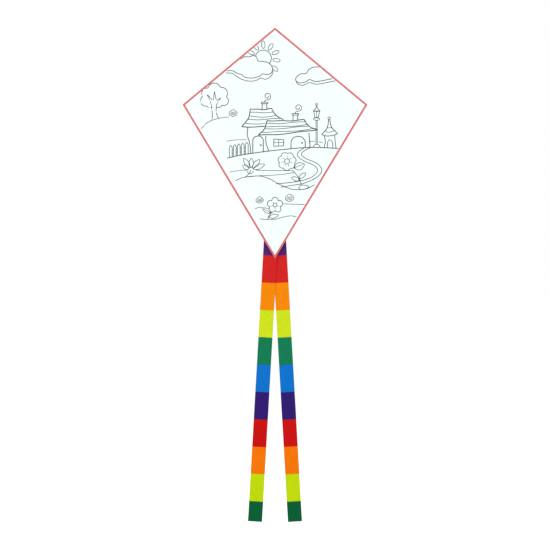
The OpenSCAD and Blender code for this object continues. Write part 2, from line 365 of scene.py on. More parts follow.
ROD_ACROSS = fibre_rod("glass_fibre_spreader", srgb(216, 209, 186), "X")

# Colour panels from the top; the dye of the second repeat is a little deeper than the first.
PANELS = [
    ("purple", srgb(80, 38, 114)), ("red", srgb(205, 35, 34)), ("orange", srgb(239, 133, 4)),
    ("yellow", srgb(201, 219, 27)), ("green", srgb(17, 120, 80)), ("blue", srgb(12, 111, 198)),
    ("purple", srgb(46, 26, 109)), ("red", srgb(195, 15, 13)), ("orange", srgb(238, 114, 2)),
    ("yellow", srgb(187, 213, 6)), ("green", srgb(4, 91, 50)),
]
PANEL_CLOTH = [
    woven(f"ribbon_{name}_{i + 1:02d}", colour, pitch=0.45 * MM, roughness=0.55, sheen=0.01,
          amount=0.045, gloss=0.04)
    for i, (name, colour) in enumerate(PANELS)
]
PANEL_THREAD = [
    woven(f"thread_{name}_{i + 1:02d}", [0.8 * c for c in colour], pitch=0.25 * MM, roughness=0.5,
          amount=0.1)
    for i, (name, colour) in enumerate(PANELS)
]


# ---- sail: two halves that meet on the spine's line ----

low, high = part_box("bridle_eyelets")
EYELET_R = 3 * MM
EYELETS = [(high.x - EYELET_R, z) for z in (high.z - EYELET_R, low.z + EYELET_R)]
EYELET_HOLE = 1.9 * MM       # radius of the hole in the cloth
EYELET_CLEAR = 4.5 * MM      # no point of the cloth's mesh lies nearer, apart from the hole's
HOLE_POINTS = 16
CLOTH_INSET = 0.8 * MM       # the cloth's edge lies this far inside the fold of the tape
SAIL_STEP = 7 * MM


def half_outline():
    """The right half's boundary, counter-clockwise, with a point about every step."""
    nose, tip, foot, _ = inset(CLOTH_INSET)
    loop = []
    for a, b in ((foot, tip), (tip, nose), (nose, foot)):
        count = max(2, round(np.linalg.norm(b - a) / SAIL_STEP))
        loop += [tuple(a + (b - a) * k / count) for k in range(count)]
    return loop


def half_mesh():
    """Flat triangles of the right half, with its eyelet holes: (points, faces)."""
    points = half_outline()
    loops = [list(range(len(points)))]
    for x, z in EYELETS:
        loops.append([len(points) + k for k in range(HOLE_POINTS)][::-1])
        points += [(x + EYELET_HOLE * math.cos(a), z + EYELET_HOLE * math.sin(a))
                   for a in np.linspace(0, 2 * math.pi, HOLE_POINTS, endpoint=False)]
    # rows of triangles with equal sides
    for row, z in enumerate(np.arange(FOOT_Z, NOSE_Z, SAIL_STEP * 0.866)):
        for x in np.arange(SAIL_STEP * (1.0 if row % 2 else 0.5), HALF_W, SAIL_STEP):
            clear = edge_distance(x, z) > CLOTH_INSET + 0.5 * SAIL_STEP
            free = all(math.hypot(x - a, z - b) > EYELET_CLEAR for a, b in EYELETS)
            if clear and free:
                points.append((x, z))
    edges = [(loop[k], loop[(k + 1) % len(loop)]) for loop in loops for k in range(len(loop))]
    inside_only, tolerance = 1, 1e-7
    out = delaunay_2d_cdt([Vector(p) for p in points], edges, [], inside_only, tolerance)
    flat, faces = np.array([tuple(p) for p in out[0]]), [list(f) for f in out[2]]

    def is_cloth(face):
        x, z = flat[face].mean(0)
        return all(math.hypot(x - a, z - b) > EYELET_HOLE * 0.99 for a, b in EYELETS)

    return flat, [f for f in faces if is_cloth(f)]


def closed_sheet(flat, faces, side, name, mats):
    """Cloth of real thickness over flat triangles, mirrored if side is -1."""
    x = flat[:, 0] * side
    z = flat[:, 1]
    middle = sail_y(x, z)
    front = np.stack([x, middle - SAIL_T / 2, z], 1)
    back = np.stack([x, middle + SAIL_T / 2, z], 1)
    n = len(flat)
    out = []
    edges = {}          # a dictionary, because a set has no fixed order
    for f in faces:
        # a counter-clockwise outline in X and Z faces -Y
        f = f[::-1] if side < 0 else f
        out += [f, [i + n for i in f[::-1]]]
        edges.update(((a, b), True) for a, b in zip(f, f[1:] + f[:1]))
    out += [[b, a, a + n, b + n] for a, b in edges if (b, a) not in edges]
    return new_object(name, np.concatenate([front, back]), out, mats)


def side_name(side):
    return "right" if side > 0 else "left"


def bend_with_wing(piece):
    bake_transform(piece)


FLAT_HALF = half_mesh()


def make_sail_half(side):
    name = side_name(side)
    piece = closed_sheet(*FLAT_HALF, side, f"sail_half_{name}", [SAIL])
    bend_with_wing(piece)
    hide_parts(f"sail_{name}", "sail_centre")
    return piece


# ---- binding tape round one half, nose to tip to foot ----

def tape_profile():
    """(inset, depth) round the folded tape: outside from front to back, then inside."""
    h = TAPE_LIES
    outer = [(TAPE_W, -h - 0.1 * MM), (TAPE_W - 0.25 * MM, -h - TAPE_T)]
    outer += [(u * TAPE_W, -h - TAPE_T * b) for u, b in ((0.75, 1.12), (0.45, 1.16), (0.22, 1.1))]
    turn = 0.62 * MM
    nose = [(turn * (1 - math.cos(a)), turn * math.sin(a) * 0.98) for a in np.linspace(-1.1, 1.1, 7)]
    back = [(u, -y) for u, y in outer[::-1]]
    inner = [(TAPE_W, h), (1.6 * MM, h), (0.75 * MM, 0), (1.6 * MM, -h), (TAPE_W, -h)]
    return outer + nose + back + inner


TAPE_STITCH = 1.6 * MM       # from the tape's inner edge to its stitches


def make_binding(side):
    name = side_name(side)

    def on_tape(first, t, distance, depth):
        """A point from one corner to the next: this far inside the edge, this deep off the cloth."""
        a, b = inset(distance)[first:first + 2]
        x, z = a + (b - a) * t
        return side * x, float(sail_y(side * x, z)) + depth, z

    profile = tape_profile()
    loops = []
    for first, length in enumerate((UPPER_EDGE, LOWER_EDGE)):
        count = round(length / (5 * MM))
        for k in range(count + first):
            t = k / count
            pucker = 1 + 0.05 * math.sin(t * length / STITCH_PITCH * math.pi)
            drift = 0.1 * MM * math.sin(t * length * 60 + first)
            loop = [on_tape(first, t, u + (drift if u > 0.8 * TAPE_W else 0), depth * pucker)
                    for u, depth in profile]
            loops.append(loop if side > 0 else loop[::-1])
    build = Build()
    build.tube(loops[::-1])
    on_top = TAPE_LIES + TAPE_T * 1.1
    for face in (-1, 1):
        for first in (0, 1):
            line = [on_tape(first, t, TAPE_W - TAPE_STITCH, face * on_top)
                    for t in np.linspace(0.004, 0.996, 90)]
            add_stitches(build, line, face)
    piece = build.finish(f"binding_{name}", [TAPE, THREAD_CORAL])
    bend_with_wing(piece)
    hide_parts(f"binding_upper_{name}", f"binding_lower_{name}", "binding_nose", "binding_foot")
    return piece


# ---- printed outline scene, drawn with a pen in millimetres on the sail ----

def arc(cx, cz, rx, rz, start, end, turn=0, step=8):
    """Part of an ellipse, angles in degrees, turned by 'turn'."""
    count = max(4, int(abs(end - start) / step))
    angles = np.radians(np.linspace(start, end, count + 1))
    c, s = math.cos(math.radians(turn)), math.sin(math.radians(turn))
    x, z = rx * np.cos(angles), rz * np.sin(angles)
    return np.stack([cx + x * c - z * s, cz + x * s + z * c], 1)


def curve(*points, closed=False):
    """A smooth line through a few chosen points."""
    p = np.array(points, float)
    ends = (p[-1:], p[:2]) if closed else (2 * p[:1] - p[1:2], 2 * p[-1:] - p[-2:-1])
    p = np.concatenate([ends[0], p, ends[1]])
    out = []
    for a, b, c, d in zip(p, p[1:], p[2:], p[3:]):
        count = max(2, int(np.linalg.norm(c - b) / 3))
        for t in np.linspace(0, 1, count, endpoint=False):
            out.append(0.5 * (2 * b + (c - a) * t + (2 * a - 5 * b + 4 * c - d) * t * t
                              + (3 * b - a - 3 * c + d) * t ** 3))
    out.append(p[-2])
    return np.array(out)


def puff(*circles, centre=None):
    """Outline of overlapping circles, as of a cloud, seen from their middle."""
    mid = np.array(circles, float)[:, :2].mean(0) if centre is None else np.array(centre, float)
    out = []
    for a in np.radians(np.arange(0, 361, 2.5)):
        ray = np.array([math.cos(a), math.sin(a)])
        best = 0.0
        for x, z, r in circles:
            to = np.array([x, z]) - mid
            along = to @ ray
            gap = r * r - (to @ to - along * along)
            if gap > 0:
                best = max(best, along + math.sqrt(gap))
        out.append(mid + ray * best)
    return np.array(out)


def flower(cx, cz, r, petals, turn):
    """Outline of a round-petalled flower."""
    angles = [math.radians(turn + 360 / petals * k) for k in range(petals)]
    return puff(*[(cx + 0.62 * r * math.cos(a), cz + 0.62 * r * math.sin(a), 0.4 * r) for a in angles],
                centre=(cx, cz))


def leaf(x, z, angle, length, width):
    """A pointed leaf that grows from (x, z)."""
    c, s = math.cos(math.radians(angle)), math.sin(math.radians(angle))
    half = [(0, 0), (0.3, 0.42), (0.62, 0.46), (1, 0)]
    shape = half + [(a, -b) for a, b in half[-2:0:-1]]
    return curve(*[(x + a * c * length - b * width * s, z + a * s * length + b * width * c)
                   for a, b in shape], (x, z))


def inside(point, outline):
    x, z = point
    hit = False
    for (ax, az), (bx, bz) in zip(outline, np.roll(outline, -1, axis=0)):
        if (az > z) != (bz > z) and x < (bx - ax) * (z - az) / (bz - az) + ax:
            hit = not hit
    return hit


INK_LINES = []
PEN_SCALE = 1.64


def pen(points, width=1.5, behind=(), within=None):
    """Draws a line, left out behind other outlines, outside 'within' and under the binding."""
    points = np.asarray(points, float)
    dense = [points[0]]
    for a, b in zip(points, points[1:]):
        count = max(1, math.ceil(np.linalg.norm(b - a) / 3.5))
        dense += [a + (b - a) * k / count for k in range(1, count + 1)]
    run = []
    for p in dense:
        shown = (edge_distance(*p * MM) > TAPE_W + 0.4 * MM
                 and not any(inside(p, o) for o in behind)
                 and (within is None or inside(p, within)))
        if shown:
            run.append(p)
        if not shown or p is dense[-1]:
            if len(run) > 1:
                INK_LINES.append((np.array(run), width * PEN_SCALE))
            run = []


def stroke(width, *points, behind=()):
    """A smooth line through the points."""
    pen(curve(*points), width, behind)


def circle(x, z, r, width, step=30):
    pen(arc(x, z, r, r, 0, 360, step=step), width)


def draw_sky():
    cloud = curve((-112, 148), (-100, 155), (-84, 155), (-70, 159), (-60, 154), (-55, 142), (-42, 140),
                  (-24, 137), (-12, 127), (-8, 114), (-13, 102), (-26, 97), (-40, 100), (-50, 92),
                  (-72, 86), (-96, 88), (-108, 97), (-124, 102), (-138, 110), (-160, 112), (-150, 140),
                  closed=True)
    pen(cloud)
    stroke(1.4, (-160, 103), (-138, 101), (-124, 91), (-108, 82), (-84, 76), (-62, 78), (-46, 86),
           (-32, 82), (-18, 88), (-8, 100), (-6, 110))
    pen(arc(-38, 151, 26, 26, -45, 205), behind=[cloud])
    for angle in np.arange(-42, 180, 33):
        a, reach = math.radians(angle), 51 if angle < -20 else 43.5
        x, z = -38 + reach * math.cos(a), 151 + reach * math.sin(a)
        pen(arc(x, z, 12, 5.6, 0, 360, turn=angle, step=12), 1.3, behind=[cloud])
    stroke(1.5, (172, 112), (152, 120), (128, 122), (110, 114), (101, 101), (82, 99), (69, 88), (68, 77),
           (82, 70), (98, 73), (112, 81), (130, 75), (156, 78), (192, 86))
    stroke(1.4, (68, 76), (76, 65), (94, 63), (112, 71), (134, 66), (160, 70), (196, 77))


def draw_shrub(x, z, r):
    """A low round shrub with leaf strokes."""
    pen(puff((x - r * 0.45, z - 1, r * 0.62), (x + r * 0.05, z + r * 0.35, r * 0.62),
             (x + r * 0.5, z, r * 0.6), (x, z - r * 0.3, r * 0.6)), 1.2)
    for k in range(-2, 3):
        low, high = z - r * (0.62 - 0.1 * abs(k)), z + r * (0.5 - 0.12 * abs(k))
        pen([(x + k * r * 0.3 - 1.5, low), (x + k * r * 0.3 + 2.5, high)], 1.0)


def draw_tree():
    crown = puff((-225, 12, 17), (-219, 35, 19), (-197, 49, 21), (-174, 36, 20), (-166, 12, 15),
                 (-184, 2, 12), (-211, 0, 11))
    pen(crown, behind=[np.array([(-206, 20), (-206, -20), (-190, -20), (-190, 20)])])
    stroke(1.5, (-206, -4), (-204, -22), (-203, -36), (-206, -52))
    stroke(1.5, (-190, -4), (-191, -20), (-188, -34), (-182, -46))
    stroke(1.3, (-206, -4), (-211, 14), (-220, 32), (-208, 20), (-201, 12), (-198, 30), (-196, 42),
           (-193, 24), (-188, 14), (-176, 22), (-186, 8), (-190, -4))
    stroke(1.3, (-239, -78), (-224, -62), (-204, -51), (-178, -44), (-150, -40))
    draw_shrub(-136, -28, 12)


def draw_roof(left_side, right_side, count, behind=()):
    """A roof between two curved sides, each drawn from its ridge end to its eave, with wavy boards."""
    left, right = curve(*left_side), curve(*right_side)
    outline = np.concatenate([left, right[::-1]])

    def across(a, b, sag=-3):
        spots = [a + (b - a) * u + (0, sag * math.sin(math.pi * u) + 1.3 * math.sin(u * 9 + a[1]))
                 for u in np.linspace(0, 1, 9)]
        spots[0], spots[-1] = a, b
        return curve(*spots)

    for line in (across(left[0], right[0]), across(left[-1], right[-1]), left, right):
        pen(line, 1.9, behind)
    for k in range(1, count + 1):
        t = k / (count + 1)
        a = left[0] + (left[-1] - left[0]) * t - (9, 0)
        b = right[0] + (right[-1] - right[0]) * t + (14, 0)
        pen(across(a, b, -1.5 if k % 2 else -4.5), 1.3, behind, outline)


def draw_chimney(x, low, high):
    pen([(x - 8, low), (x - 7, high), (x + 7, high), (x + 8, low)], 1.6)
    pen([(x - 11, high), (x - 11, high + 5), (x + 11, high + 5), (x + 11, high), (x - 11, high)], 1.5)
    # smoke that curls up from it
    turns = np.radians(np.linspace(-60, 380, 34))
    radius = 12 * np.linspace(1, 0.3, 34)
    curl = np.stack([x + 9 + radius * np.cos(turns), high + 24 + radius * np.sin(turns)], 1)
    pen(np.concatenate([curve((x - 1, high + 6), (x + 3, high + 11), tuple(curl[0]))[:-1], curl]), 1.4)


def draw_door(left, right, floor, top):
    """A round-topped door with its knob."""
    mid, side = (left + right) / 2, (right - left) / 2
    spring = top - side * 0.9
    head = arc(mid, spring, side, top - spring, 0, 180)
    pen(np.concatenate([[(right, floor + side * 0.05)], head, [(left, floor - side * 0.1)]]), 1.7)
    circle(right - side * 0.45, floor + (top - floor) * 0.45, 2.6, 1.1)


def draw_houses():
    front_roof = np.array([(-26, -50), (96, -50), (112, -72), (138, -82), (106, -94), (30, -104),
                           (-54, -100), (-34, -78)])
    front_wall = np.array([(-30, -98), (112, -90), (114, -139), (30, -146), (-22, -151)])
    # the cottage behind
    draw_roof([(-80, -14), (-86, -44), (-108, -72)], [(-12, -12), (8, -38), (60, -64)], 4,
              [front_roof, front_wall])
    draw_chimney(-34, -15, 3)
    stroke(1.7, (-88, -74), (-90, -98), (-82, -126), (-78, -160))
    draw_door(-72, -38, -156, -102)
    # the cottage in front
    draw_roof([(-26, -52), (-34, -78), (-54, -99)], [(94, -48), (110, -70), (138, -82)], 4)
    draw_chimney(66, -52, -34)
    stroke(1.7, (-30, -101), (-29, -125), (-20, -151))
    stroke(1.7, (110, -92), (112, -116), (114, -139))
    draw_door(52, 98, -142, -103)
    pen([(-4, -112), (28, -113), (28, -134), (-4, -135), (-4, -112)], 1.5)
    pen([(12, -112), (12, -135)], 1.1)
    pen([(-4, -123), (28, -123)], 1.1)
    stroke(1.7, (-156, -174), (-110, -164), (-31, -152), (44, -144), (118, -139), (208, -142))
    stroke(1.1, (-158, -119), (-130, -115), (-92, -114))
    stroke(1.1, (114, -120), (130, -119))
    stroke(1.1, (140, -121), (156, -124))


def draw_lamp():
    for x in (133, 137):
        pen([(x, -130), (x, -50)], 1.3)
    pen(arc(135, -138, 11, 9, 0, 180), 1.4)
    pen(arc(135, -47, 10, 4, 0, 360, step=15), 1.3)
    pen([(129, -42), (126, -22), (144, -22), (141, -42), (129, -42)], 1.4)
    pen([(135, -42), (135, -22)], 1.0)
    stroke(1.5, (123, -21), (131, -14), (135, -3))
    stroke(1.5, (147, -21), (139, -14), (135, -3))
    pen([(123, -21), (147, -21)], 1.3)
    circle(135, 0.5, 3.4, 1.3)


def draw_hut():
    stroke(1.6, (174, -48), (169, -76), (151, -97))
    stroke(1.6, (177, -48), (184, -74), (203, -94))
    circle(175.5, -44, 4, 1.3)
    stroke(1.6, (151, -97), (166, -102), (188, -100), (203, -94))
    stroke(1.5, (160, -101), (163, -120), (160, -139))
    stroke(1.5, (194, -99), (195, -120), (198, -140))
    stroke(1.4, (170, -140), (171, -122), (178, -114), (186, -122), (188, -140))
    stroke(1.1, (163, -87), (176, -90), (193, -85))
    stroke(1.1, (168, -74), (176, -76), (186, -73))


def draw_fence():
    for k in range(5):
        x, low = -148 + 13 * k, -171 + 2.5 * k
        pen([(x, low), (x, low + 32), (x + 4.5, low + 39), (x + 9, low + 32.5), (x + 9, low + 1.5)], 1.4)
        for lift in (10, 22):
            if k < 4:
                pen([(x + 9, low + 1.8 + lift), (x + 13, low + 2.5 + lift)], 1.1)


BLOOM = flower(39, -184, 29, 7, turn=10)
BROAD_LEAF = leaf(62, -207, 22, 36, 24)


def draw_bloom(outline, x, z, middle, near, far, angles):
    """A flower with its round middle and the short strokes that stand off it."""
    pen(outline, 1.4)
    circle(x, z, middle, 1.3, 20)
    for a in np.radians(angles):
        ray = np.array([math.cos(a), math.sin(a)])
        pen([ray * near + (x, z), ray * far + (x, z)], 1.0)


def draw_garden():
    # a leafy plant
    for angle, length in ((152, 30), (122, 44), (88, 38), (50, 44), (22, 48)):
        a = math.radians(angle)
        pen(leaf(-78 + 7 * math.cos(a), -212 + 7 * math.sin(a), angle, length - 7, 15), 1.3)
    stroke(1.3, (-78, -212), (-84, -224), (-98, -236))
    pen(arc(-80, -218, 9, 6, 140, 400, step=20), 1.2)
    # a tall flower beside the path
    draw_bloom(BLOOM, 39, -184, 8, 10, 18, 36 + np.arange(7) * 360 / 7)
    pen(BROAD_LEAF, 1.3, [BLOOM])
    stroke(1.0, (62, -207), (78, -199), (92, -194), behind=[BLOOM])
    stroke(1.4, (56, -212), (68, -226), (80, -242), (86, -262))
    pen(leaf(78, -240, 40, 28, 13), 1.3)
    pen(leaf(80, -246, 160, 28, 13), 1.3)
    stroke(1.3, (76, -270), (84, -262), (98, -262), (110, -266), (98, -274), (82, -275), (76, -270))


def draw_path_and_hills():
    hidden = [BLOOM, BROAD_LEAF]
    stroke(1.4, (94, -141), (76, -154), (74, -168), (96, -184), (126, -197), (138, -214), (124, -232),
           (94, -245), (48, -253), (4, -257), behind=hidden)
    stroke(1.4, (116, -139), (92, -152), (86, -164), (104, -177), (136, -191), (152, -212), (138, -234),
           (98, -254), (56, -262), (20, -268), behind=hidden)
    stroke(1.1, (-148, -219), (-116, -214), (-90, -213))
    stroke(1.2, (-62, -213), (-14, -214), (34, -214), (56, -215))
    stroke(1.2, (-92, -235), (-50, -231), (6, -228), (62, -221))
    stroke(1.4, (-128, -247), (-108, -238), (-78, -233), (-48, -232), (-20, -240), (8, -255), (34, -268),
           (66, -276), (102, -273), (128, -260))


def draw_foot_of_sail():
    bloom = flower(0, -326, 25, 5, turn=18)
    draw_bloom(bloom, 0, -326, 6, 7, 13, np.arange(54, 400, 72))
    stroke(1.5, (-8, -348), (-18, -358), (-24, -371), behind=[bloom])
    pen(leaf(-14, -352, 148, 30, 15), 1.3, [bloom])
    stroke(1.0, (-14, -352), (-26, -344), (-36, -339), behind=[bloom])
    pen(leaf(-20, -366, 14, 32, 13), 1.3)
    draw_shrub(-50, -310, 11)
    draw_shrub(47, -303, 13)
    stroke(1.2, (-66, -339), (-54, -334), (-44, -334), (-38, -336), behind=[bloom])
    stroke(1.2, (26, -322), (54, -323), (84, -324), (102, -324), behind=[bloom])
    stroke(1.2, (-50, -371), (-26, -373), (0, -372), (26, -365), (50, -361), (70, -364))


for draw in (draw_sky, draw_tree, draw_houses, draw_lamp, draw_hut, draw_fence, draw_garden,
             draw_path_and_hills, draw_foot_of_sail):
    draw()


def clip_to_side(points, side):
    """The stretches of a line on one side of the spine's line, cut exactly on it."""
    runs, run = [], []
    for a, b in zip(points, points[1:]):
        ina, inb = a[0] * side >= 0, b[0] * side >= 0
        if ina:
            run.append(a)
        if ina != inb:
            t = a[0] / (a[0] - b[0])
            run.append(a + (b - a) * t)
            if ina:
                runs.append(run)
                run = []
    if points[-1][0] * side >= 0:
        run.append(points[-1])
    return [np.array(r) for r in runs + [run] if len(r) > 1]


INK_T = 0.03 * MM


def ink_strip(build, line, width):
    """A flat stroke of ink of even width on the printed face."""
    p = line * MM
    keep = [0] + [i for i in range(1, len(p)) if np.linalg.norm(p[i] - p[i - 1]) > 1e-5]
    p = p[keep]
    if len(p) < 2:
        return
    along = np.gradient(p, axis=0)
    along /= np.linalg.norm(along, axis=1)[:, None]
    across = np.stack([-along[:, 1], along[:, 0]], 1) * width * MM / 2
    loops = []
    low = 0.01 * MM          # how far the stroke goes into the cloth
    for left, right in zip(p + across, p - across):
        yl = float(sail_y(*left)) - SAIL_T / 2
        yr = float(sail_y(*right)) - SAIL_T / 2
        loops.append([(left[0], yl + low, left[1]), (right[0], yr + low, right[1]),
                      (right[0], yr - INK_T, right[1]), (left[0], yl - INK_T, left[1])])
    build.tube(loops)


def make_ink(side):
    build = Build()
    for line, width in INK_LINES:
        for run in clip_to_side(line, side):
            ink_strip(build, run, width)
    piece = build.finish(f"outline_print_{side_name(side)}", [INK], smooth=False)
    bend_with_wing(piece)
    return piece


for side in (-1, 1):
    cloth = make_sail_half(side)
    tape = make_binding(side)
    ink = make_ink(side)


# ---- cloth sewn over a spar: pockets at the corners and keepers along the spine ----

PATCH_STITCH = 1.3 * MM      # from a patch's edge to its stitches


def over_spar(name, centre, direction, stations, mats, replaced, slot, body="spine", rod="spine_rod"):
    """Cloth that lies on the sail's back and arches over a spar.

    direction is the unit vector along the spar; each station is (distance, half width of the
    patch, height of the arch, half width of the arch).
    """
    centre, direction = np.array(centre, float), np.array(direction, float)
    across = np.array([direction[2], 0, -direction[0]])
    thick = 0.35 * MM
    base = 0.85 * MM

    def spot(distance, aside, y):
        p = centre + direction * distance + across * aside
        return p[0], y, p[2]

    tops, lows, widths = [], [], []
    for distance, half, high, arch in stations:
        u = np.concatenate([np.linspace(-half, -arch, 5), np.linspace(-arch, arch, 15)[1:-1],
                            np.linspace(arch, half, 5)])
        lift = np.where(np.abs(u) < arch, high * np.sqrt(np.clip(1 - (u / arch) ** 2, 0, 1)) ** 0.9, 0)
        widths.append(float(np.hypot(np.diff(u), np.diff(lift)).sum()))
        tops.append([spot(distance, a, base + thick + h) for a, h in zip(u, lift)])
        lows.append([spot(distance, a, base + max(h - thick * 0.2, 0)) for a, h in zip(u, lift)])
    build = Build()
    build.two_sided(tops, lows)
    for side in (-1, 1):
        line = [spot(s[0], side * (s[1] - PATCH_STITCH), base + thick) for s in stations]
        add_stitches(build, line, 1, pitch=2.9 * MM, length=2.0 * MM)
    piece = build.finish(name, mats)
    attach(piece, body)
    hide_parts(replaced)


POCKET_MOUTH = 12 * MM           # half of its width
CLOTH_ABOVE_SAIL = 1.3 * MM      # from the sail's middle to the top of cloth that lies flat behind it


def pocket_stations(length, end, height, arch):
    """The arch stays up over the capped rod and closes just beyond it."""
    rows = []
    full = 0.925
    for t in [*np.linspace(0, full, 12), *np.linspace(full, 1, 7)[1:]]:
        close = math.sqrt(max(0.0, 1 - max(0.0, (t - full) / (1 - full)) ** 2))
        half = POCKET_MOUTH + (end - POCKET_MOUTH) * t
        rows.append((length * t, half, height * (1 + 0.05 * (1 - t)) * close, min(arch, half * 0.82)))
    return rows


def make_pocket(name, towards, end, arch, **held_by):
    """A corner pocket; towards is the unit vector to its corner, end its half width there."""
    low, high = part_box(f"{name}_pocket")
    near, far = sorted((low @ Vector(towards), high @ Vector(towards)))
    over_spar(f"{name}_corner_pocket", Vector(towards) * near, towards,
              pocket_stations(far - near, end, high.y - CLOTH_ABOVE_SAIL, arch),
              [TAPE, THREAD_CORAL], f"{name}_pocket", "binding_tape", **held_by)


def make_keeper(name, top, length, rows, replaced):
    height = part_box("spine_keepers")[1].y - CLOTH_ABOVE_SAIL
    stations = [(length * t, 10.8 * MM, height, 4.2 * MM) for t in np.linspace(0, 1, rows)]
    over_spar(name, (0, 0, top), (0, 0, -1), stations, [WEBBING, THREAD_WHITE], replaced, "sail_cloth")


make_pocket("nose", (0, 0, 1), 8.2 * MM, 5.6 * MM)
make_pocket("foot", (0, 0, -1), 5.6 * MM, 5.6 * MM)
for side in (-1, 1):
    name = side_name(side)
    make_pocket(name, (side, 0, 0), 7 * MM, 5 * MM, body=f"{name}_wing", rod=f"{name}_spreader_rod")

KEEPER_LEN = 18 * MM
low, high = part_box("spine_keepers")
make_keeper("upper_spine_keeper", high.z, KEEPER_LEN, 7, "spine_keepers")
make_keeper("lower_spine_keeper", low.z + KEEPER_LEN, KEEPER_LEN, 7, "spine_keepers")
low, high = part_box("tail_keeper")
make_keeper("tail_spine_keeper", high.z, high.z - low.z, 11, "tail_keeper")


# ---- webbing tab, soft cross fitting's necks ----

def strip_along(build, path, width, thick):
    """A flat band with rounded edges that follows a path of (y, z), 'width' along X."""
    path = np.asarray(path, float)
    along = np.gradient(path, axis=0)
    along /= np.linalg.norm(along, axis=1)[:, None]
    normal = np.stack([-along[:, 1], along[:, 0]], 1)
    half = width / 2
    e = 0.3 * thick
    top = [(-half, 0)] + [(x, thick / 2) for x in (-half + e, -half * 0.5, 0, half * 0.5, half - e)]
    section = top + [(-x, -h) for x, h in top]
    loops = [[(x, p[0] + n[0] * h, p[1] + n[1] * h) for x, h in section]
             for p, n in zip(path, normal)]
    build.tube(loops)


def make_tab():
    y0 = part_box("tail_keeper")[1].y + 0.35 * MM
    radius = 2.75 * MM
    upper = [(y0, TAB_Z + 9 * MM), (y0, TAB_Z + 6 * MM), (y0 + 0.1 * MM, TAB_Z + 2.4 * MM),
             (y0 + 0.7 * MM, TAB_Z + 0.9 * MM), (TAIL_Y - radius - 0.5 * MM, TAB_Z + 0.42 * MM)]
    # from its upper near side round the back to its lower near side
    loop = [(TAIL_Y + radius * math.cos(a), TAB_Z + radius * math.sin(a))
            for a in np.radians(np.linspace(168, -168, 29))]
    lower = [(y, 2 * TAB_Z - z) for y, z in upper[::-1]]
    build = Build()
    strip_along(build, upper + loop + lower, 7.6 * MM, 0.55 * MM)
    for z in TAB_Z + np.array([7.6, 5.2, -5.2, -7.6]) * MM:
        line = [(x, y0 + 0.3 * MM, z) for x in np.linspace(-3.2, 3.2, 5) * MM]
        add_stitches(build, line, 1, pitch=2.2 * MM, length=1.5 * MM)
    piece = build.finish("tail_webbing_tab", [WEBBING, THREAD_WHITE])
    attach(piece, "spine")
    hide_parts("tail_tab")


def make_neck(side):
    """The part of the soft fitting between the hub and an arm, where the real fitting flexes."""
    name = side_name(side)
    radius = 3.78 * MM
    # it starts inside the hub and ends inside the arm
    inner = abs(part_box("cross_fitting")[1].x) - 3.2 * MM
    outer = FOLD_X + 5.2 * MM
    rounding, ribs, rib = 0.45 * MM, 5, 0.16 * MM
    build = Build()
    loops = []
    for t in np.linspace(0, 1, 33):
        x = inner + (outer - inner) * t
        end = min(t, 1 - t) * (outer - inner)
        edge = min(1.0, end / (0.8 * MM))
        r = radius - rounding * (1 - math.sqrt(1 - (1 - edge) ** 2))
        r += rib * math.cos(2 * math.pi * ribs * t) * edge
        loops.append([(side * x, SPAR_Y + r * math.cos(a), r * math.sin(a))
                      for a in np.linspace(0, 2 * math.pi, 28, endpoint=False)])
    build.tube(loops if side < 0 else loops[::-1])
    piece = build.finish(f"cross_fitting_neck_{name}", [VINYL])
    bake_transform(piece)


make_tab()
for side in (-1, 1):
    make_neck(side)


# ---- tail ----

RIBBON_W = 46 * MM
RIBBON_T = 0.26 * MM
SEAM_LAP = 0.8 * MM      # how far a colour laps over the one above
HEM_STITCH = 2.3 * MM    # from a ribbon's edge to the stitches of its hem
HEM_W, FOOT_HEM_W = 2.8 * MM, 3.2 * MM
RIBBON_THREAD = 0.17 * MM


class Streamer:
    """One leg of the tail: where its seams are, and its surface."""

    def __init__(self, name):
        self.name = name
        seams = [joints[f"{name}_seam_{i + 1:02d}"] for i in range(len(PANELS))]
        places = np.array([seam["pos_m"] for seam in seams])
        self.origin = places[0]
        length = places[-1] - places[0]
        self.down = length / np.linalg.norm(length)
        self.across = np.array([-self.down[2], 0, self.down[0]])
        self.starts = [float((p - self.origin) @ self.down) for p in places]
        end = (TAIL_END_Z - self.origin[2]) / self.down[2]
        slack = RIBBON_W / 2 * abs(self.down[0] / self.down[2])
        self.starts.append(end - slack)
        self.phase = 0.0 if name == "left" else 1.4

    def wave(self, s, a):
        """Depth of the ribbon's middle: slow waves that grow towards the loose end."""
        loose = smooth_step((s - 0.24) / 0.5)
        u = 2 * a / RIBBON_W
        waves = 3.4 * math.sin(s * 17 + self.phase) + 1.2 * math.sin(s * 41 + 2 * self.phase)
        twist = 0.9 * u * math.sin(s * 11 + self.phase)
        cup = (0.10 + 0.3 * loose) * u ** 2 * math.cos(s * 35 + self.phase)
        crinkle = 0.07 * math.sin(s * 210 + a * 160)
        return (loose * (waves + twist) + cup + crinkle) * MM

    def point(self, s, a, lift):
        return self.origin + self.down * s + self.across * a + (0, self.wave(s, a) + lift, 0)


